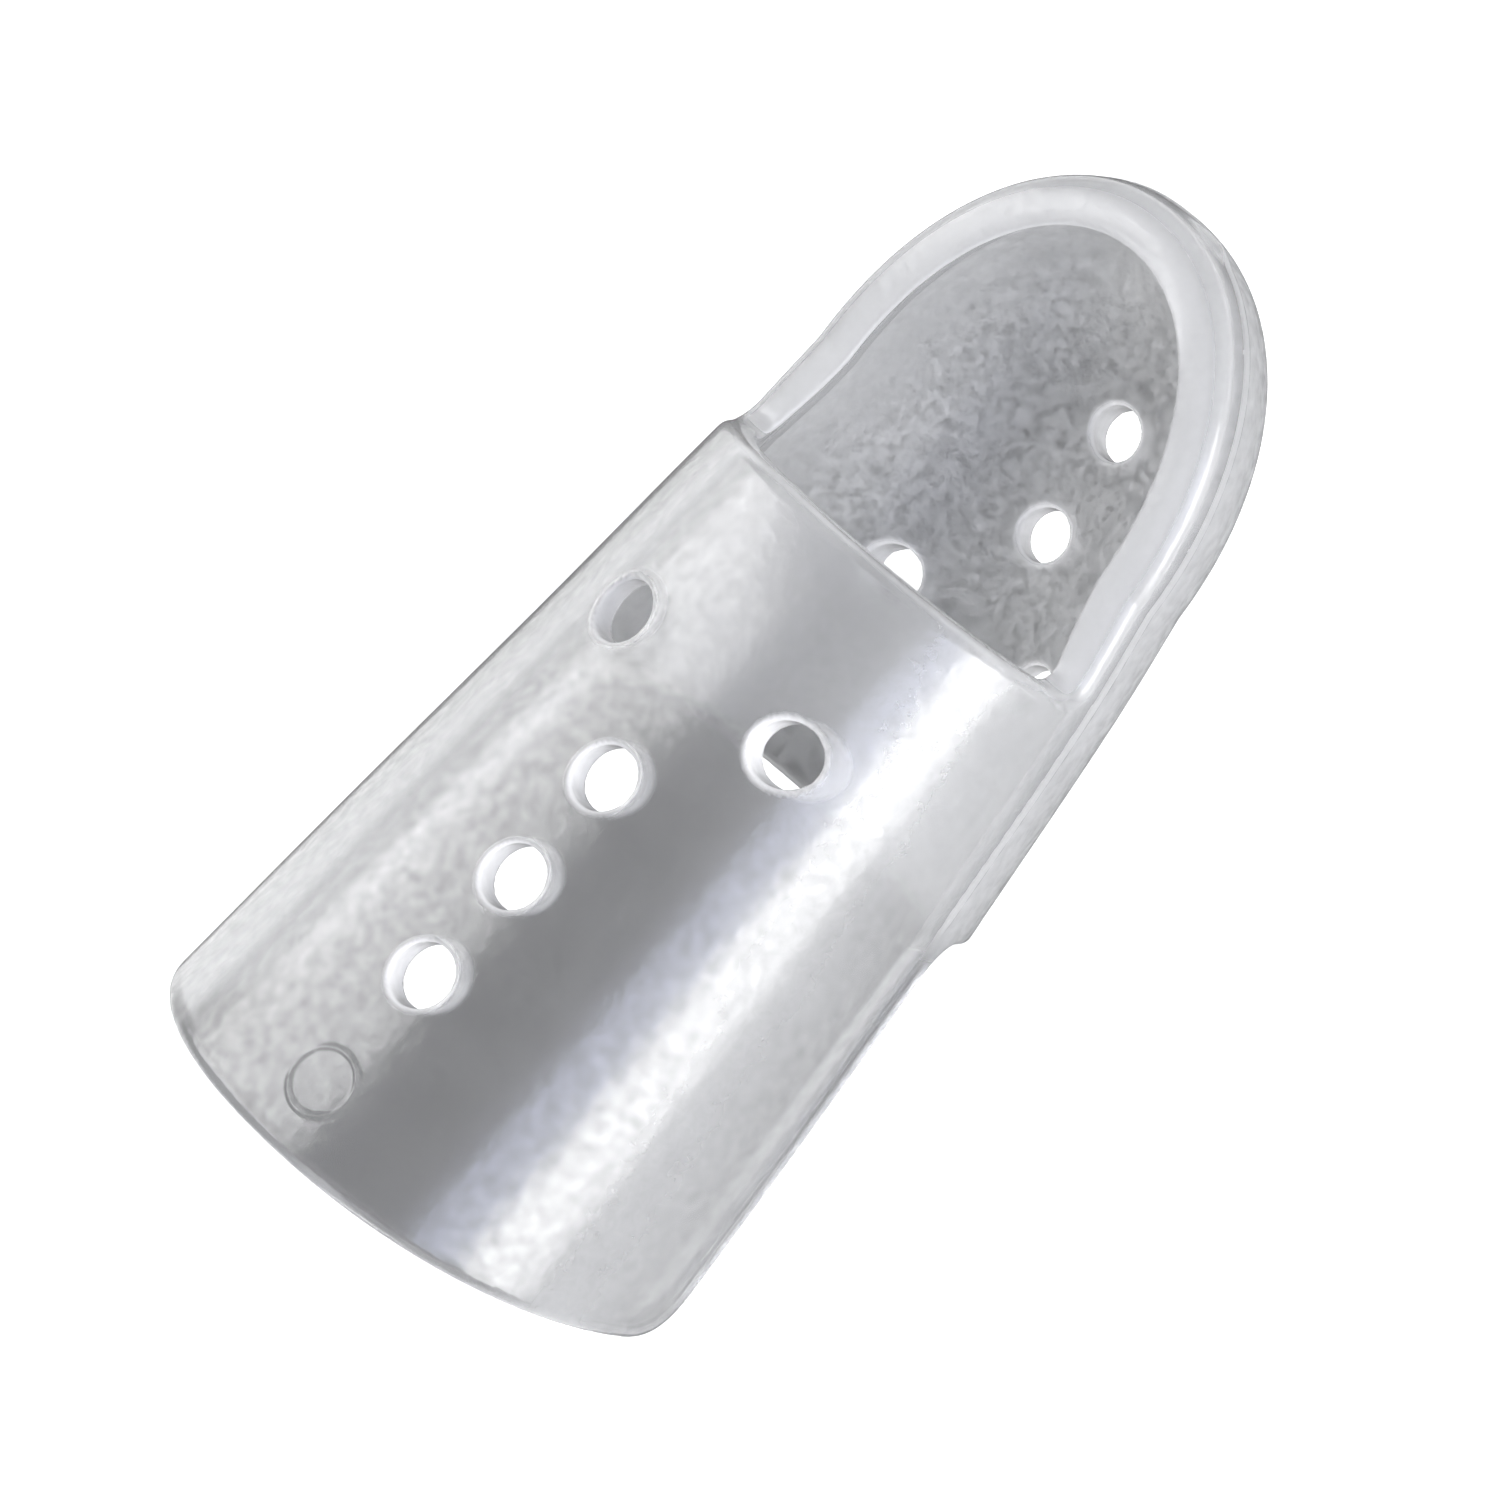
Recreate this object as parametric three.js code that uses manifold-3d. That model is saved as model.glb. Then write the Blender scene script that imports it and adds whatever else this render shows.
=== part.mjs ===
// A clear moulded finger splint, one piece: a deep fingertip tray and an arched back guard,
// which overlap in a short closed ring where the last finger joint lies.
// Millimetres. +X runs from the open end to the fingertip, +Y is to the left, +Z is up.

import * as THREE from 'three';
import { mergeVertices } from 'three/addons/utils/BufferGeometryUtils.js';
import Module from 'manifold-3d';

// Driving dimensions of the tube that the splint is cut from.
const LENGTH = 60;
const WALL = 1.8;
const TIP_START = 44;
const SECTION_POWER = 2.15; // 2 makes an ellipse, a higher power a squarer section
const TIP_POWER = 2.06;
const FLOOR = 1.7; // thickness of the tray's bottom
const UNDERSIDE_FLAT_DEPTH = 0.45; // how much of the round underside is flattened where it rests

// Sections across the finger. The seam is the height of the widest line, where the mould parts.
const SECTIONS = [
  { x: 0, halfWidth: 15.5, crown: 30.1, seam: 14.2 },
  { x: 13, halfWidth: 14.4, crown: 26.95, seam: 12.9 },
  { x: 26, halfWidth: 13.15, crown: 23.85, seam: 11.6 },
  { x: 39, halfWidth: 11.95, crown: 20.8, seam: 10.5 },
  { x: TIP_START, halfWidth: 11.35, crown: 18.9, seam: 10.5 },
];

// Edges seen from the side.
const OPEN_END_LEAN = 2.0; // the guard's lower corner stands back this far from its crown
const OPEN_END_CORNER = 3.8;
const GUARD_EDGE = { openEnd: 14.7, ring: 11.0 }; // height of the guard's lower edge
const TRAY_EDGE = { bottom: 24.4, top: 25.2, fillet: 2.0, toe: 0.8 };
const RIM = { ring: 12.2, tip: 12.6, fillet: 1.3 }; // height of the tray's rim
const GUARD_END = { rim: 38.5, crown: 38.95 };

// Vent holes, in line with the mould's pull: a row along the middle and a pair beside its end.
const VENT_PITCH = 6.2;
const BACK_VENTS = { first: 10.7, step: VENT_PITCH, rowCount: 3, pairOffset: 5.75, diameter: 3.2 };
const PALM_VENTS = { first: 48.35, step: -VENT_PITCH, rowCount: 2, pairOffset: 4.95, diameter: 3.0 };

// Fineness of the faceted surface.
const ROWS_ALONG = 16;
const ROWS_ROUND_TIP = 26;
const COLUMNS = 32;
const VENT_SIDES = 28;
const CORNER_STEPS = 6;

const OVERSHOOT = 5; // how far a cutter runs past what it cuts
const BLOCK_TOP = SECTIONS[0].crown + OVERSHOOT;

const wasm = await Module();
wasm.setup();

const signedPower = (value, power) => Math.sign(value) * Math.abs(value) ** power;

// Reads one column of the section table at any x, as a smooth curve through its rows.
function sectionCurve(column) {
  const stations = SECTIONS.map((section) => section.x);
  const values = SECTIONS.map((section) => section[column]);
  const curve = new THREE.CubicInterpolant(stations, values, 1);
  return (x) => (x < 0 ? values[0] + (x * (values[1] - values[0])) / stations[1] : curve.evaluate(x)[0]);
}

const halfWidthAt = sectionCurve('halfWidth');
const crownAt = sectionCurve('crown');
const seamAt = sectionCurve('seam');

// Turns a closed geometry into a solid that can be joined and cut.
function toSolid(geometry) {
  geometry.deleteAttribute('normal');
  geometry.deleteAttribute('uv');
  const merged = mergeVertices(geometry);
  const corners = merged.index.array;
  const triangles = [];
  for (let i = 0; i < corners.length; i += 3) {
    const [a, b, c] = [corners[i], corners[i + 1], corners[i + 2]];
    if (a !== b && b !== c && c !== a) triangles.push(a, b, c);
  }
  const mesh = new wasm.Mesh({
    numProp: 3,
    vertProperties: new Float32Array(merged.attributes.position.array),
    triVerts: new Uint32Array(triangles),
  });
  return new wasm.Manifold(mesh);
}

// Half sections in order: along the left side, round the tip, and back along the right side.
// Each has the point on the finger's middle line that it starts from and its reach to the seam.
function halfSections(inset, startX) {
  const side = (x, sign) => ({
    centre: x,
    reach: [0, sign * (halfWidthAt(x) - inset)],
    shape: x,
  });
  const left = [];
  for (let i = 0; i < ROWS_ALONG; i += 1) {
    left.push(side(startX + ((TIP_START - startX) * i) / ROWS_ALONG, 1));
  }
  const tip = [];
  for (let i = 0; i <= ROWS_ROUND_TIP; i += 1) {
    const turn = (Math.PI * i) / ROWS_ROUND_TIP;
    const ahead = (LENGTH - TIP_START - inset) * signedPower(Math.sin(turn), 2 / TIP_POWER);
    const across = (halfWidthAt(TIP_START) - inset) * signedPower(Math.cos(turn), 2 / TIP_POWER);
    tip.push({ centre: TIP_START, reach: [ahead, across], shape: TIP_START });
  }
  const right = left.map((row) => side(row.centre, -1)).reverse();
  return [...left, ...tip, ...right];
}

// A closed finger-shaped body with a round tip, inset by a wall thickness, with its bottom at a height.
function fingerBody(inset, bottom, startX) {
  const rows = halfSections(inset, startX);
  const positions = [];
  for (const { centre, reach, shape } of rows) {
    const seam = seamAt(shape);
    for (let j = 0; j <= COLUMNS; j += 1) {
      const turn = Math.PI * (0.5 - j / COLUMNS);
      const outward = signedPower(Math.cos(turn), 2 / SECTION_POWER);
      const upward = signedPower(Math.sin(turn), 2 / SECTION_POWER);
      const rise = turn > 0 ? crownAt(shape) - inset - seam : seam - bottom;
      positions.push(centre + reach[0] * outward, reach[1] * outward, seam + rise * upward);
    }
  }
  const indices = [];
  const stride = COLUMNS + 1;
  for (let i = 0; i < rows.length; i += 1) {
    const here = i * stride;
    const next = ((i + 1) % rows.length) * stride;
    for (let j = 0; j < COLUMNS; j += 1) {
      indices.push(here + j, next + j + 1, here + j + 1);
      indices.push(here + j, next + j, next + j + 1);
    }
  }
  const geometry = new THREE.BufferGeometry();
  geometry.setAttribute('position', new THREE.Float32BufferAttribute(positions, 3));
  geometry.setIndex(indices);
  return toSolid(geometry);
}

// A closed outline of straight edges whose corners are rounded by a radius each.
function roundedOutline(corners) {
  const shape = new THREE.Shape();
  corners.forEach((corner, i) => {
    const point = new THREE.Vector2(corner.x, corner.z);
    const before = corners.at(i - 1);
    const after = corners[(i + 1) % corners.length];
    const back = new THREE.Vector2(before.x, before.z).sub(point).normalize();
    const forth = new THREE.Vector2(after.x, after.z).sub(point).normalize();
    const setback = corner.radius / Math.tan(Math.acos(back.dot(forth)) / 2);
    const start = point.clone().addScaledVector(back, setback);
    const end = point.clone().addScaledVector(forth, setback);
    if (i === 0) shape.moveTo(start.x, start.y);
    else shape.lineTo(start.x, start.y);
    if (corner.radius > 0) shape.quadraticCurveTo(point.x, point.y, end.x, end.y);
  });
  shape.closePath();
  return shape;
}

// The splint's outline from the side, as a block right across it.
function sideBlock() {
  const endSlope = OPEN_END_LEAN / (SECTIONS[0].crown - GUARD_EDGE.openEnd);
  const guardSlope = (GUARD_END.crown - GUARD_END.rim) / (crownAt(GUARD_END.crown) - RIM.ring);
  const frontTop = GUARD_END.rim + guardSlope * (BLOCK_TOP - RIM.ring);
  const tipEnd = LENGTH + OVERSHOOT;
  const outline = roundedOutline([
    { x: -endSlope * OVERSHOOT, z: BLOCK_TOP, radius: 0 },
    { x: OPEN_END_LEAN, z: GUARD_EDGE.openEnd, radius: OPEN_END_CORNER },
    { x: TRAY_EDGE.top, z: GUARD_EDGE.ring, radius: TRAY_EDGE.fillet },
    { x: TRAY_EDGE.bottom, z: 0, radius: TRAY_EDGE.toe },
    { x: tipEnd, z: 0, radius: 0 },
    { x: tipEnd, z: RIM.tip, radius: 0 },
    { x: GUARD_END.rim, z: RIM.ring, radius: RIM.fillet },
    { x: frontTop, z: BLOCK_TOP, radius: 0 },
  ]);
  const across = 2 * (SECTIONS[0].halfWidth + OVERSHOOT);
  const options = { depth: across, bevelEnabled: false, curveSegments: CORNER_STEPS };
  const geometry = new THREE.ExtrudeGeometry(outline, options);
  geometry.rotateX(Math.PI / 2);
  geometry.translate(0, across / 2, 0);
  return toSolid(geometry);
}

// Upright cutters for one group of vent holes, between two heights.
function ventCutters({ first, step, rowCount, pairOffset, diameter }, bottom, top) {
  const places = [];
  for (let i = 0; i < rowCount; i += 1) places.push([first + step * i, 0]);
  const pairX = first + step * rowCount;
  places.push([pairX, pairOffset], [pairX, -pairOffset]);
  return places.map(([x, y]) => {
    const geometry = new THREE.CylinderGeometry(diameter / 2, diameter / 2, top - bottom, VENT_SIDES);
    geometry.rotateX(Math.PI / 2);
    geometry.translate(x, y, (top + bottom) / 2);
    return toSolid(geometry);
  });
}

// The one moulding: a hollow finger shape, trimmed to its side outline and pierced by the vents.
function splintShell() {
  const outside = fingerBody(0, -UNDERSIDE_FLAT_DEPTH, -OVERSHOOT / 2);
  const inside = fingerBody(WALL, FLOOR, -OVERSHOOT);
  const vents = [
    ...ventCutters(BACK_VENTS, GUARD_EDGE.openEnd, BLOCK_TOP),
    ...ventCutters(PALM_VENTS, -OVERSHOOT, seamAt(TIP_START)),
  ];
  const tube = outside.subtract(inside).intersect(sideBlock());
  const solid = vents.reduce((body, vent) => body.subtract(vent), tube);
  const { vertProperties, triVerts } = solid.getMesh();
  const geometry = new THREE.BufferGeometry();
  geometry.setAttribute('position', new THREE.Float32BufferAttribute(vertProperties, 3));
  geometry.setIndex([...triVerts]);
  geometry.computeVertexNormals();
  return geometry;
}

const clearPlastic = new THREE.MeshStandardMaterial({
  color: 0xd6d9db,
  roughness: 0.22,
  metalness: 0,
  transparent: true,
  opacity: 0.55,
});

const shell = new THREE.Mesh(splintShell(), clearPlastic);
shell.name = 'splint_shell';

// The origin is under the middle of the splint, on the surface that it rests on.
const splint = new THREE.Group();
splint.name = 'finger_splint';
splint.position.set(-LENGTH / 2, 0, 0);
splint.add(shell);

export default splint;
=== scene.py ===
import math

import bpy
import numpy as np
from mathutils import Matrix, Vector


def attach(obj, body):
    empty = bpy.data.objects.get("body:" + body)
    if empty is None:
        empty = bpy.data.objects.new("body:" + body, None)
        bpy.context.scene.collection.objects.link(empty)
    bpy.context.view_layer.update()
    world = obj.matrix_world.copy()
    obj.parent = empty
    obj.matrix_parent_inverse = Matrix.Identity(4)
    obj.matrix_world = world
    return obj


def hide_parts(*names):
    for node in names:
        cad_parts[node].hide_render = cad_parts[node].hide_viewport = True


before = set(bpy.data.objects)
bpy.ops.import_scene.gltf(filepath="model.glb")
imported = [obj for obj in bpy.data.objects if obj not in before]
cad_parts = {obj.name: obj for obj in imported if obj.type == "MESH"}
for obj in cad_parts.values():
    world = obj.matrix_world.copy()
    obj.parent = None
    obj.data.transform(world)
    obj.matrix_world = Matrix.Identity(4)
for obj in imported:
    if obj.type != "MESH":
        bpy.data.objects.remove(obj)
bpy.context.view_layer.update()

# The splint's own sizes are in millimetres. x runs from the open end to the fingertip, z is up.
MM = 0.001

# The hollow finger shape that the splint is cut from.
LENGTH = 60.0
WALL = 1.8
FLOOR = 1.7
UNDERSIDE_FLAT_DEPTH = 0.45
TIP_START = 44.0
SECTION_POWER = 2.15  # 2 makes an ellipse, a higher power a squarer section
TIP_POWER = 2.06
STATIONS = np.array([0.0, 13.0, 26.0, 39.0, TIP_START])
HALF_WIDTHS = np.array([15.5, 14.4, 13.15, 11.95, 11.35])
CROWNS = np.array([30.1, 26.95, 23.85, 20.8, 18.9])
SEAMS = np.array([14.2, 12.9, 11.6, 10.5, 10.5])
TRAY_EXTRA_WALL = 0.35
TRAY_EXTRA_WALL_RUN = (37.5, 43.0)

# Edges seen from the side.
OPEN_END_LEAN = 2.0
OPEN_END_CORNER = 3.8
GUARD_EDGE_OPEN_END = 13.8
GUARD_EDGE_RING = 10.1
TRAY_EDGE_BOTTOM = 24.4
TRAY_EDGE_TOP = 25.2
TRAY_EDGE_FILLET = 2.0
RIM_RING = 12.5
RIM_TIP = 13.1
RIM_FILLET = 1.3
GUARD_END_RIM = 38.5
GUARD_END_CROWN = 38.95
OVERSHOOT = 5.0  # how far the outline runs past what it cuts
CORNER_STEPS = 10

# Vent holes: a row along the middle and a pair beside its end, on the back and on the palm side.
VENT_PITCH = 6.2
VENT_LIP = 0.25
BACK_VENTS = {
    "first": 10.7, "step": VENT_PITCH, "in_row": 3, "pair_offset": 5.75, "radius": 1.64,
}
PALM_VENTS = {
    "first": 48.35, "step": -VENT_PITCH, "in_row": 2, "pair_offset": 4.95, "radius": 1.38,
}
BACK_VENTS_ABOVE_SEAM = 2

# Roundings. The rim's outer one is wider across than it is deep.
EDGE_OUTER_ROUNDING = 0.7
EDGE_INNER_ROUNDING = 0.4
RIM_OUTER_ROUNDING = (1.6, 0.9)
RIM_INNER_ROUNDING = 0.3
FLAT_ROUNDING = 0.05
RIM_START_BLEND = (-0.5, 1.0)  # along x, from the guard's end
RIM_BAND_ABOVE = 1
RIM_BAND_BELOW = 4

# Small moulded relief: the parting line's ridge, a plain ring mark and the gate's stub.
RIDGE_HEIGHT = 0.07
RIDGE_WIDTH = 0.15
RIDGE_START = 25.5
MARK_CENTRE = (4.0, 0.0)
MARK_RADIUS = 1.7
MARK_WIDTH = 0.13
MARK_HEIGHT = 0.06
GATE_PLACE = (59.55, -1.5, 10.8)
GATE_SIZE = (0.5, 1.7, 0.6)
GATE_BLEND = 0.3

# The grid that the mesh is read from, finer at the ring mark and along the seam and the rim.
GRID = 0.22
GRID_X = (-0.6, LENGTH + 1.2)
GRID_HALF_Y = (0.05, HALF_WIDTHS[0] + 0.8)
GRID_Z = (-0.5, CROWNS[0] + 0.8)
MARK_GRID = 0.1
MARK_REACH = 2.0
SEAM_GRID = 0.09
SEAM_BAND = (9.9, 13.0)
RELAX_ROUNDS = 2
SETTLE_ROUNDS = 2
SETTLE_LIMIT = 0.1
LEAST_SLOPE = 1e-3
LEAST_SQUARED_SLOPE = 0.1
LEAST_REACH = 1e-6

# How milkiness, frost and mottling fall on each part of the plastic, from 0 to 1. The flank and
# rim-shoulder amounts paint highlights, and the cut-edge, rim and vent amounts paint glow: whiter,
# less clear plastic stands in for light there.
# The flank's amount is a painted highlight: a whiter, less clear band along the outer flanks where
# the lamps' highlight falls off.
FLANK_PAINTED_HIGHLIGHT = 0.25
RING_MILK = 0.07
TRAY_MILK = 0.17
# The next four paint light: a glow along the cut edges and the rim, a highlight along the rim's
# outer shoulder, and a glow and reflection in the vent walls.
EDGE_PAINTED_GLOW = 0.2
RIM_PAINTED_GLOW = 0.5
SHOULDER_PAINTED_HIGHLIGHT = 0.35
VENT_PAINTED_GLOW = 1.0
RIM_FROST = 0.5
OUTER_MOTTLE = 0.07
UPPER_WALL_CALM = 0.7

# Where these looks fade in: from and to a distance, or a height above the seam.
EDGE_FADE = (-0.45, -0.1)
SHOULDER_FADE = (-1.6, -0.4)
VENT_FADE = (-VENT_LIP - 0.15, -0.05)
TRAY_FADE = (TRAY_EDGE_BOTTOM - 1.4, TRAY_EDGE_BOTTOM + 2.6)
INNER_FACE_FADE = (-1.1, -0.5)
OUTER_FACE_FADE = (WALL / 3, WALL / 2)
UPPER_WALL_FADE = (-6, -2)
FROST_TOP = 0.5
# Height above the seam and spread of the painted highlight band on the flanks.
FLANK_HEIGHT = 7.5
FLANK_SPREAD = 3.6

# The plastic's shader. Texture scales are per metre.
PLASTIC_IOR = 1.47
CLEAR_COLOUR = (0.9, 0.905, 0.915, 1)
# The whiter end serves both the plastic's own milkiness and its painted highlights and glow.
MILK_AND_PAINTED_LIGHT_COLOUR = (0.95, 0.95, 0.96, 1)
CLEAR_TO_MILK_AND_PAINTED_LIGHT_TRANSMISSION = (0.9, 0.1)
CLEAR_TO_FROSTED_ROUGHNESS = (0.2, 0.5)
CLOUD = {"scale": 260, "detail": 4}
CLOUD_AMOUNT = 0.045
SPECKLE = {"scale": 1500, "detail": 3, "distortion": 1.0}
SPECKLE_AMOUNT = 0.6
GRAIN = {"scale": 1400, "detail": 2}
GRAIN_DEPTH = 0.0001
GRAIN_BUMPS = {"Normal": 0.08, "Coat Normal": 0.5}
COAT_WEIGHTS = (-0.6, 1.6)
COAT_ROUGHNESS = 0.2

# The stage, in metres.
GROUND_REACH = 3
GROUND_HEIGHT = -0.00006
GROUND_ALBEDO = 0.5
GROUND_GLOW = 0.85
CARD_CORNERS = ((-0.043, -0.022), (0.04, 0.034))
CARD_HEIGHT = -0.00002
CARD_ALBEDO = 0.11
WORLD_GLOW = 0.18
LIGHT_DISTANCE = 0.8
LIGHT_AIM = (0, 0, 0.012)
WHITE = (1, 1, 1)
SKY = (0.72, 0.77, 1.0)
LIGHTS = [
    # name, azimuth and elevation in degrees, size, glow, colour, whether the plastic mirrors it
    ("front", 12, 24, (0.5, 0.27), 8.5, WHITE, True),
    ("front_low", 12, 10, (0.5, 0.12), 5.5, WHITE, True),
    ("front_sky", 12, 45, (0.3, 0.31), 3.6, SKY, True),
    ("back", 172, 45, (0.3, 0.75), 4.8, WHITE, True),
    ("back_low", 172, 15, (0.3, 0.2), 2.6, WHITE, True),
    ("fill_front", 5, 4, (0.4, 0.2), 5, WHITE, False),
    ("fill_end", -88, 12, (0.3, 0.2), 14, WHITE, False),
    ("fill_back", -145, 15, (0.3, 0.2), 2, WHITE, False),
]

# The photograph's camera, in metres and in pixels of the picture.
CAMERA_PLACE = (0.08761774, -0.2243694, 0.4733004)
CAMERA_RIGHT = (0.59172865, -0.67688322, -0.43781996)
CAMERA_AWAY = (-0.16722558, 0.42822723, -0.88806365)
CAMERA_CLIP = (0.05, 20)
FOCAL_LENGTH = 10741.0
OPTICAL_MIDDLE = (840.78, 711.63)
PICTURE = 1500.0
SENSOR = 36.0


def curve_through(values):
    """A smooth curve through the stations, straight on before the first, level after the last."""
    slopes = np.diff(values) / np.diff(STATIONS)
    tangents = np.concatenate([slopes[:1], (slopes[:-1] + slopes[1:]) / 2, slopes[-1:]])

    def read(x):
        within = np.clip(x, STATIONS[0], STATIONS[-1])
        i = np.clip(np.searchsorted(STATIONS, within, side="right") - 1, 0, len(STATIONS) - 2)
        step = STATIONS[i + 1] - STATIONS[i]
        t = (within - STATIONS[i]) / step
        rest = 1 - t
        ends = values[i] * rest * rest * (1 + 2 * t) + values[i + 1] * t * t * (3 - 2 * t)
        bends = step * t * rest * (tangents[i] * rest - tangents[i + 1] * t)
        return ends + bends + np.minimum(x, STATIONS[0]) * slopes[0]

    return read


half_width_at = curve_through(HALF_WIDTHS)
crown_at = curve_through(CROWNS)
seam_at = curve_through(SEAMS)


def finger_distance(x, y, z, inset, bottom):
    """About how far a point lies outside the finger-shaped body, and how far above the seam."""
    shape = np.minimum(x, TIP_START)
    seam = seam_at(shape)
    half = half_width_at(shape) - inset
    tip = LENGTH - TIP_START - inset
    above = z - seam
    rise = np.where(above > 0, crown_at(shape) - inset - seam, seam - bottom)
    ahead = np.maximum(x - TIP_START, 0) / tip
    across = np.abs(y) / half
    height = np.abs(above) / rise
    reach = (ahead**TIP_POWER + across**TIP_POWER) ** (1 / TIP_POWER)
    reach = np.maximum(reach, LEAST_REACH)
    level = (reach**SECTION_POWER + height**SECTION_POWER) ** (1 / SECTION_POWER)
    level = np.maximum(level, LEAST_REACH)
    turn = TIP_POWER - 1
    bend = SECTION_POWER - 1
    reach_slope = np.hypot((ahead / reach) ** turn / tip, (across / reach) ** turn / half)
    slope = np.hypot((reach / level) ** bend * reach_slope, (height / level) ** bend / rise)
    return (level - 1) / np.maximum(slope, LEAST_SLOPE), above


def rounded_outline(corners):
    """The points of a closed outline whose corners are rounded by a radius each."""
    points = []
    for i, (x, z, radius) in enumerate(corners):
        corner = np.array([x, z])
        back = np.array(corners[i - 1][:2]) - corner
        forth = np.array(corners[(i + 1) % len(corners)][:2]) - corner
        back /= np.linalg.norm(back)
        forth /= np.linalg.norm(forth)
        if radius == 0:
            points.append(corner)
            continue
        setback = radius / math.tan(math.acos(float(back @ forth)) / 2)
        for t in np.linspace(0, 1, CORNER_STEPS + 1):
            start = corner + back * setback * (1 - t)
            end = corner + forth * setback * t
            points.append(start * (1 - t) + end * t)
    return np.array(points)


def side_outline():
    """The splint's outline in side view, which runs past its ends, underside and crown."""
    top = CROWNS[0] + OVERSHOOT
    tip_end = LENGTH + OVERSHOOT
    end_slope = OPEN_END_LEAN / (CROWNS[0] - GUARD_EDGE_OPEN_END)
    guard_rise = float(crown_at(GUARD_END_CROWN)) - RIM_RING
    guard_slope = (GUARD_END_CROWN - GUARD_END_RIM) / guard_rise
    tray_slope = (TRAY_EDGE_TOP - TRAY_EDGE_BOTTOM) / GUARD_EDGE_RING
    return rounded_outline([
        (-end_slope * OVERSHOOT, top, 0),
        (OPEN_END_LEAN, GUARD_EDGE_OPEN_END, OPEN_END_CORNER),
        (TRAY_EDGE_TOP, GUARD_EDGE_RING, TRAY_EDGE_FILLET),
        (TRAY_EDGE_BOTTOM - tray_slope * OVERSHOOT, -OVERSHOOT, 0),
        (tip_end, -OVERSHOOT, 0),
        (tip_end, RIM_TIP, 0),
        (GUARD_END_RIM, RIM_RING, RIM_FILLET),
        (GUARD_END_RIM + guard_slope * (top - RIM_RING), top, 0),
    ])


SIDE = side_outline()


def side_distance(x, z):
    """Signed distance from the splint's outline in side view, below zero inside it."""
    nearest = np.full(x.shape, np.inf)
    inside = np.zeros(x.shape, bool)
    for (ax, az), (bx, bz) in zip(SIDE, np.roll(SIDE, -1, axis=0)):
        dx, dz = bx - ax, bz - az
        along = np.clip(((x - ax) * dx + (z - az) * dz) / (dx * dx + dz * dz), 0, 1)
        nearest = np.minimum(nearest, np.hypot(x - ax - along * dx, z - az - along * dz))
        if dz:
            inside ^= ((az > z) != (bz > z)) & (x < ax + (z - az) * dx / dz)
    return np.where(inside, -nearest, nearest)


def round_and(a, b, radius, b_radius=None):
    """What lies in both shapes, with their common edge rounded, also unequally."""
    b = b if b_radius is None else b * radius / b_radius
    corner = np.hypot(np.maximum(a + radius, 0), np.maximum(b + radius, 0))
    return np.minimum(np.maximum(a, b), -radius) + corner


def soft_or(a, b, blend):
    """What lies in either shape, with a hollow fillet between them."""
    share = np.maximum(blend - np.abs(a - b), 0) / blend
    return np.minimum(a, b) - share * share * blend / 4


def smooth_step(low, high, value):
    """Goes smoothly from 0 at low to 1 at high."""
    share = np.clip((value - low) / (high - low), 0, 1)
    return share * share * (3 - 2 * share)


def wall_at(x):
    """The wall's thickness, which grows from the ring to the tray."""
    return WALL + TRAY_EXTRA_WALL * smooth_step(*TRAY_EXTRA_WALL_RUN, x)


def rim_share(x, z):
    """1 along the tray's rim and 0 on every other edge."""
    along = smooth_step(*(GUARD_END_RIM + end for end in RIM_START_BLEND), x)
    return along * (z < RIM_TIP + RIM_BAND_ABOVE) * (z > RIM_RING - RIM_BAND_BELOW)


def vent_places(vents):
    pair_x = vents["first"] + vents["step"] * vents["in_row"]
    row = [(vents["first"] + vents["step"] * i, 0.0) for i in range(vents["in_row"])]
    return [*row, (pair_x, vents["pair_offset"]), (pair_x, -vents["pair_offset"])]


def vent_depths(x, y, above):
    """For each vent, which points are on its side of the splint and how far inside it each is."""
    sides = ((BACK_VENTS, above > BACK_VENTS_ABOVE_SEAM), (PALM_VENTS, above < 0))
    for vents, on_side in sides:
        for vent_x, vent_y in vent_places(vents):
            yield on_side, vents["radius"] - np.hypot(x - vent_x, y - vent_y)


def splint_distance(x, y, z, side):
    """About how far a point lies outside the splint's plastic."""
    outer, above = finger_distance(x, y, z, 0.0, -UNDERSIDE_FLAT_DEPTH)
    inner, _ = finger_distance(x, y, z, wall_at(x), FLOOR)
    along_ring = np.clip(x - RIDGE_START, 0, 1)
    outer = outer - RIDGE_HEIGHT * along_ring * np.exp(-((above / RIDGE_WIDTH) ** 2))
    mark = (np.hypot(x - MARK_CENTRE[0], y - MARK_CENTRE[1]) - MARK_RADIUS) / MARK_WIDTH
    outer = outer - MARK_HEIGHT * np.where(above > 0, np.exp(-(mark**2)), 0)
    from_gate = (((p - c) / s) ** 2 for p, c, s in zip((x, y, z), GATE_PLACE, GATE_SIZE))
    gate = (np.sqrt(sum(from_gate)) - 1) * min(GATE_SIZE)
    outer = soft_or(outer, gate, GATE_BLEND)

    rim = rim_share(x, z)
    across, down = (
        EDGE_OUTER_ROUNDING + (r - EDGE_OUTER_ROUNDING) * rim for r in RIM_OUTER_ROUNDING
    )
    inner_rounding = EDGE_INNER_ROUNDING + (RIM_INNER_ROUNDING - EDGE_INNER_ROUNDING) * rim
    outer = round_and(outer, side, across, down)
    inner = round_and(-inner, side, inner_rounding)
    plastic = round_and(np.maximum(outer, inner), -z, FLAT_ROUNDING)
    for on_side, depth in vent_depths(x, y, above):
        near = on_side & (depth > -VENT_LIP)
        if near.any():
            near_depth = np.broadcast_to(depth, near.shape)[near]
            plastic[near] = round_and(plastic[near], near_depth, VENT_LIP)
    return plastic


def graded(low, high, step, fine_step=None, fine_band=(0, 0)):
    """Grid lines from low to high, closer together inside the fine band."""
    lines = [low]
    while lines[-1] < high:
        fine = fine_band[0] <= lines[-1] <= fine_band[1]
        lines.append(lines[-1] + (fine_step if fine else step))
    return np.array(lines)


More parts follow.
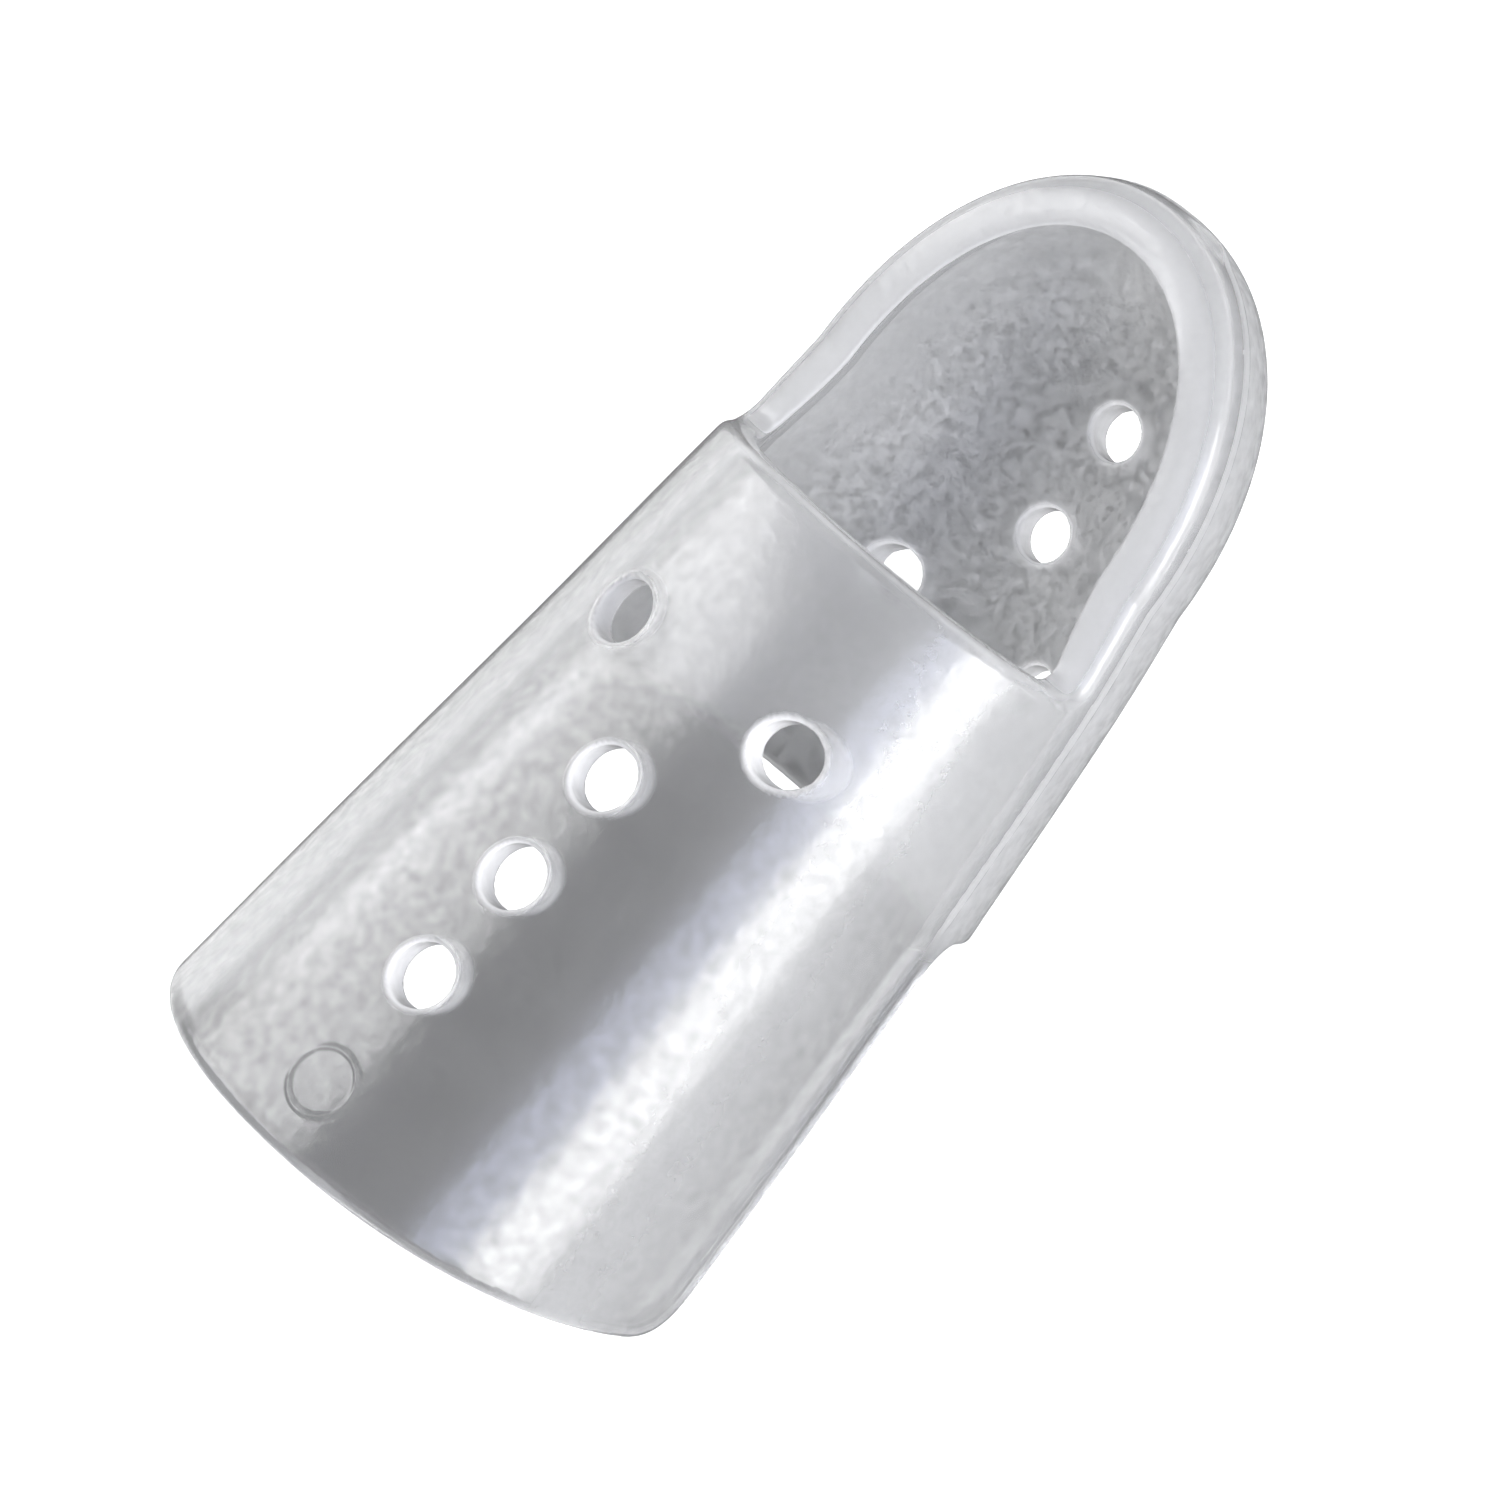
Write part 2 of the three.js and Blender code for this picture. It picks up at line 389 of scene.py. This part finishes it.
def untangle(field):
    """Where the corners of a grid face alternate between in and out, turns the weakest over."""
    for axis in range(3):
        b, c = np.delete(np.eye(3, dtype=int), axis, axis=0)
        ring = [0 * b, b, b + c, c]
        room = np.array(field.shape) - b - c
        signs = [
            field[tuple(slice(o, o + n) for o, n in zip(offset, room))] < 0 for offset in ring
        ]
        alike = (signs[0] == signs[2]) & (signs[1] == signs[3])
        for face in np.argwhere(alike & (signs[0] != signs[1])):
            corners = [tuple(face + offset) for offset in ring]
            field[min(corners, key=lambda corner: abs(field[corner]))] *= -1


def surface_net(field, axes):
    """A closed quad mesh on the field's zero level: a point in each cell that the level crosses."""
    inside = field < 0
    corners = [(i, j, k) for i in (0, 1) for j in (0, 1) for k in (0, 1)]
    sizes = np.array(field.shape)
    filled = np.zeros(sizes - 1, np.int8)
    for c in corners:
        filled += inside[tuple(slice(o, n - 1 + o) for o, n in zip(c, sizes))]
    crossed = (filled > 0) & (filled < len(corners))
    cells = np.argwhere(crossed)
    index = np.full(sizes - 1, -1, np.int32)
    index[crossed] = np.arange(len(cells))

    total = np.zeros((len(cells), 3))
    hits = np.zeros(len(cells))
    for axis in range(3):
        step = np.eye(3, dtype=int)[axis]
        for c in (c for c in corners if c[axis] == 0):
            start = cells + c
            end = start + step
            at_start = field[tuple(start.T)]
            at_end = field[tuple(end.T)]
            cut = (at_start < 0) != (at_end < 0)
            share = (at_start / np.where(cut, at_start - at_end, 1))[:, None]
            low = np.stack([line[i] for line, i in zip(axes, start.T)], axis=1)
            high = np.stack([line[i] for line, i in zip(axes, end.T)], axis=1)
            total += np.where(cut[:, None], low + (high - low) * share, 0)
            hits += cut
    points = total / hits[:, None]

    quads = []
    for axis in range(3):
        b, c = (axis + 1) % 3, (axis + 2) % 3
        below = np.take(inside, range(sizes[axis] - 1), axis)
        edges = np.argwhere(below != np.take(inside, range(1, sizes[axis]), axis))
        solid_below = below[tuple(edges.T)]
        around = []
        for db, dc in ((-1, -1), (0, -1), (0, 0), (-1, 0)):
            cell = edges.copy()
            cell[:, b] += db
            cell[:, c] += dc
            around.append(index[tuple(cell.T)])
        quad = np.stack(around, axis=1)
        quads.append(np.where(solid_below[:, None], quad, quad[:, ::-1]))
    return points, np.concatenate(quads)


def distance_at(points):
    x, y, z = points.T
    return splint_distance(x, y, z, side_distance(x, z))


def slope_at(points, reach=0.01):
    rises = [distance_at(points + s) - distance_at(points - s) for s in np.eye(3) * reach]
    return np.stack(rises, axis=1) / (2 * reach)


def settle(points):
    """Moves points onto the splint's surface, and gives the surface's direction there."""
    slope = slope_at(points)
    size = np.maximum((slope**2).sum(axis=1), LEAST_SQUARED_SLOPE)
    for _ in range(SETTLE_ROUNDS):
        move = np.clip(distance_at(points) / size, -SETTLE_LIMIT, SETTLE_LIMIT)
        points = points - slope * move[:, None]
    return points, slope / np.sqrt(size)[:, None]


def relax(points, quads, normals):
    """Moves each point halfway to the middle of its neighbours, along the surface only."""
    starts = quads.ravel()
    ends = np.roll(quads, -1, axis=1).ravel()
    size = len(points)
    count = np.bincount(starts, minlength=size) + np.bincount(ends, minlength=size)
    middle = np.stack([
        np.bincount(starts, column[ends], size) + np.bincount(ends, column[starts], size)
        for column in points.T
    ], axis=1) / count[:, None]
    pull = middle - points
    return points + (pull - normals * (pull * normals).sum(axis=1)[:, None]) / 2


def splint_mesh():
    """The splint's points, quads and surface directions."""
    mark_band = (MARK_CENTRE[0] - MARK_REACH, MARK_CENTRE[0] + MARK_REACH)
    xs = graded(*GRID_X, GRID, MARK_GRID, mark_band)
    half = graded(*GRID_HALF_Y, GRID, MARK_GRID, (0, MARK_REACH))
    ys = np.concatenate([-half[::-1], half])
    zs = graded(*GRID_Z, GRID, SEAM_GRID, SEAM_BAND)
    side = side_distance(*np.meshgrid(xs, zs, indexing="ij"))
    field = np.stack([
        splint_distance(x, ys[:, None], zs[None, :], row[None, :]) for x, row in zip(xs, side)
    ])
    untangle(field)
    points, quads = surface_net(field, (xs, ys, zs))
    for _ in range(RELAX_ROUNDS):
        points, normals = settle(points)
        points = relax(points, quads, normals)
    points, normals = settle(points)
    return points, quads, normals


def plastic_looks(points):
    """The plastic's milkiness together with its painted highlights and glow, its frost and its
    mottling, each from 0 to 1, at points on it.
    """
    x, y, z = points.T
    side = side_distance(x, z)
    on_rim = rim_share(x, z)
    inner, above = finger_distance(x, y, z, wall_at(x), FLOOR)
    in_tray = smooth_step(*TRAY_FADE, x)
    outside = smooth_step(*OUTER_FACE_FADE, inner)

    # Painted glow along the cut edges, stronger on the rim.
    cut_edge = smooth_step(*EDGE_FADE, side)
    edge = cut_edge * (EDGE_PAINTED_GLOW + (RIM_PAINTED_GLOW - EDGE_PAINTED_GLOW) * on_rim)
    # Painted glow and reflection in the vent walls.
    for on_side, depth in vent_depths(x, y, above):
        edge = np.maximum(edge, VENT_PAINTED_GLOW * on_side * smooth_step(*VENT_FADE, depth))
    # Painted highlight along the rim's outer shoulder.
    shoulder = outside * on_rim * smooth_step(*SHOULDER_FADE, side)
    edge = np.maximum(edge, SHOULDER_PAINTED_HIGHLIGHT * shoulder)

    frost = in_tray * smooth_step(*INNER_FACE_FADE, inner) * (above < FROST_TOP)
    # Painted highlight: a whiter band along the outer flanks, at the highlight's height above the
    # seam.
    flank = outside * np.exp(-(((above - FLANK_HEIGHT) / FLANK_SPREAD) ** 2))
    body = np.maximum(FLANK_PAINTED_HIGHLIGHT * flank, in_tray * RING_MILK) + TRAY_MILK * frost
    # Milkiness joined with the painted glow and highlights of the edges.
    milk_and_painted_light = body + (1 - body) * edge
    calm = 1 - UPPER_WALL_CALM * smooth_step(*UPPER_WALL_FADE, above)
    mottle = np.maximum(frost * (1 - outside) * calm, OUTER_MOTTLE)
    rim_frost = RIM_FROST * (cut_edge * on_rim)
    return milk_and_painted_light, np.maximum(frost * (1 - edge), rim_frost), mottle * (1 - edge)


def make_splint():
    points, quads, normals = splint_mesh()
    place = (points - np.array([LENGTH / 2, 0, 0])) * MM
    mesh = bpy.data.meshes.new("splint")
    mesh.from_pydata(place.tolist(), [], quads.tolist())
    mesh.update()
    mesh.shade_smooth()
    mesh.normals_split_custom_set_from_vertices(normals.tolist())
    # The first attribute holds milkiness joined with painted highlights and glow.
    for name, values in zip(("milk_and_painted_light", "frost", "mottle"), plastic_looks(points)):
        look = mesh.attributes.new(name, "FLOAT", "POINT")
        look.data.foreach_set("value", values.astype(np.float32))
    piece = bpy.data.objects.new("splint", mesh)
    bpy.context.scene.collection.objects.link(piece)
    return piece


def noise(nodes, links, where, scale, detail, distortion=0):
    texture = nodes.new("ShaderNodeTexNoise")
    texture.inputs["Scale"].default_value = scale
    texture.inputs["Detail"].default_value = detail
    texture.inputs["Distortion"].default_value = distortion
    links.new(where, texture.inputs["Vector"])
    return texture.outputs["Fac"]


def ramp(nodes, links, value, low, high):
    """Turns a value from 0 to 1 into one from low to high."""
    ranged = nodes.new("ShaderNodeMapRange")
    ranged.inputs["To Min"].default_value = low
    ranged.inputs["To Max"].default_value = high
    links.new(value, ranged.inputs["Value"])
    return ranged.outputs["Result"]


def attribute(nodes, name):
    node = nodes.new("ShaderNodeAttribute")
    node.attribute_name = name
    return node.outputs["Fac"]


def arithmetic(nodes, links, operation, first, second):
    node = nodes.new("ShaderNodeMath")
    node.operation = operation
    for socket, value in zip(node.inputs, (first, second)):
        links.new(value, socket)
    return node.outputs["Value"]


def clear_plastic():
    """Clear plastic that turns whiter and less clear where its painted highlights and glow lie,
    along the edges, the rim, the vents and the flanks, with uneven gloss and a frosted, mottled
    tray.
    """
    material = bpy.data.materials.new("clear_plastic")
    material.use_nodes = True
    nodes = material.node_tree.nodes
    links = material.node_tree.links
    shader = nodes["Principled BSDF"]
    shader.inputs["IOR"].default_value = PLASTIC_IOR
    where = nodes.new("ShaderNodeTexCoord").outputs["Object"]

    cloud = noise(nodes, links, where, **CLOUD)
    cloud = ramp(nodes, links, cloud, -CLOUD_AMOUNT, CLOUD_AMOUNT)
    speckle = noise(nodes, links, where, **SPECKLE)
    speckle = ramp(nodes, links, speckle, -SPECKLE_AMOUNT, SPECKLE_AMOUNT)
    speckle = arithmetic(nodes, links, "MULTIPLY", speckle, attribute(nodes, "mottle"))
    uneven = arithmetic(nodes, links, "ADD", cloud, speckle)
    # This amount holds milkiness joined with painted highlights and glow; it whitens the colour and
    # cuts the transmission.
    milkiness_and_painted_light = arithmetic(nodes, links, "ADD", attribute(nodes, "milk_and_painted_light"), uneven)

    colour = nodes.new("ShaderNodeMix")
    colour.data_type = "RGBA"
    clear_end, milk_and_painted_light_end = (s for s in colour.inputs if s.type == "RGBA")
    clear_end.default_value = CLEAR_COLOUR
    milk_and_painted_light_end.default_value = MILK_AND_PAINTED_LIGHT_COLOUR
    links.new(milkiness_and_painted_light, colour.inputs[0])
    mixed = next(s for s in colour.outputs if s.type == "RGBA")
    transmission = ramp(nodes, links, milkiness_and_painted_light, *CLEAR_TO_MILK_AND_PAINTED_LIGHT_TRANSMISSION)
    roughness = ramp(nodes, links, attribute(nodes, "frost"), *CLEAR_TO_FROSTED_ROUGHNESS)
    links.new(mixed, shader.inputs["Base Color"])
    links.new(transmission, shader.inputs["Transmission Weight"])
    links.new(roughness, shader.inputs["Roughness"])

    shader.inputs["Coat Roughness"].default_value = COAT_ROUGHNESS
    shader.inputs["Coat IOR"].default_value = PLASTIC_IOR
    grain = noise(nodes, links, where, **GRAIN)
    links.new(ramp(nodes, links, grain, *COAT_WEIGHTS), shader.inputs["Coat Weight"])
    for socket, strength in GRAIN_BUMPS.items():
        bump = nodes.new("ShaderNodeBump")
        bump.inputs["Strength"].default_value = strength
        bump.inputs["Distance"].default_value = GRAIN_DEPTH
        links.new(grain, bump.inputs["Height"])
        links.new(bump.outputs["Normal"], shader.inputs[socket])
    return material


def flat_sheet(name, corner, opposite, height, albedo, glow):
    """A plain level sheet, which is stage and not part of the splint."""
    (x0, y0), (x1, y1) = corner, opposite
    mesh = bpy.data.meshes.new(name)
    mesh.from_pydata([(x0, y0, 0), (x1, y0, 0), (x1, y1, 0), (x0, y1, 0)], [], [(0, 1, 2, 3)])
    material = bpy.data.materials.new(name)
    material.use_nodes = True
    shader = material.node_tree.nodes["Principled BSDF"]
    shader.inputs["Base Color"].default_value = (albedo, albedo, albedo, 1)
    shader.inputs["Roughness"].default_value = 1
    shader.inputs["Specular IOR Level"].default_value = 0
    shader.inputs["Emission Color"].default_value = (1, 1, 1, 1)
    shader.inputs["Emission Strength"].default_value = glow
    mesh.materials.append(material)
    sheet = bpy.data.objects.new(name, mesh)
    sheet.location.z = height
    bpy.context.scene.collection.objects.link(sheet)
    return sheet


def make_floor():
    """A white floor. Under the splint lies a dark card that only the plastic shows."""
    near, far = (-GROUND_REACH, -GROUND_REACH), (GROUND_REACH, GROUND_REACH)
    flat_sheet("floor", near, far, GROUND_HEIGHT, GROUND_ALBEDO, GROUND_GLOW)
    card = flat_sheet("card", *CARD_CORNERS, CARD_HEIGHT, CARD_ALBEDO, 0)
    card.visible_camera = False
    card.visible_shadow = False
    card.visible_diffuse = False


def soft_light(name, azimuth, elevation, size, glow, colour, mirrored):
    """A rectangular light that faces the splint. Its power follows from its glow."""
    a, e = math.radians(azimuth), math.radians(elevation)
    out = Vector((math.sin(a) * math.cos(e), -math.cos(a) * math.cos(e), math.sin(e)))
    data = bpy.data.lights.new(name, "AREA")
    data.shape = "RECTANGLE"
    data.size, data.size_y = size
    data.energy = math.pi * size[0] * size[1] * glow
    data.color = colour
    light = bpy.data.objects.new(name, data)
    light.location = out * LIGHT_DISTANCE + Vector(LIGHT_AIM)
    light.rotation_euler = out.to_track_quat("Z", "Y").to_euler()
    light.visible_glossy = mirrored
    bpy.context.scene.collection.objects.link(light)


def make_lights():
    world = bpy.data.worlds.new("studio")
    world.use_nodes = True
    background = world.node_tree.nodes["Background"]
    background.inputs["Color"].default_value = (1, 1, 1, 1)
    background.inputs["Strength"].default_value = WORLD_GLOW
    bpy.context.scene.world = world
    for light in LIGHTS:
        soft_light(*light)


def make_camera():
    """The camera stands where the photograph was taken from and looks at the picture's middle."""
    right = Vector(CAMERA_RIGHT)
    away = Vector(CAMERA_AWAY)
    down = away.cross(right)
    aside, below = ((PICTURE / 2 - middle) / FOCAL_LENGTH for middle in OPTICAL_MIDDLE)
    aim = away + right * aside + down * below
    aim.normalize()
    across = (right - aim * right.dot(aim)).normalized()
    up = across.cross(aim)
    data = bpy.data.cameras.new("camera")
    data.sensor_width = SENSOR
    data.lens = SENSOR * FOCAL_LENGTH / PICTURE
    data.clip_start, data.clip_end = CAMERA_CLIP
    camera = bpy.data.objects.new("camera", data)
    camera.location = CAMERA_PLACE
    camera.rotation_euler = Matrix((across, up, -aim)).transposed().to_euler()
    bpy.context.scene.collection.objects.link(camera)
    bpy.context.scene.camera = camera


make_camera()
splint = make_splint()
splint.data.materials.append(clear_plastic())
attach(splint, "root")
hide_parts("splint_shell")
make_floor()
make_lights()
bpy.context.scene.view_settings.view_transform = "Standard"
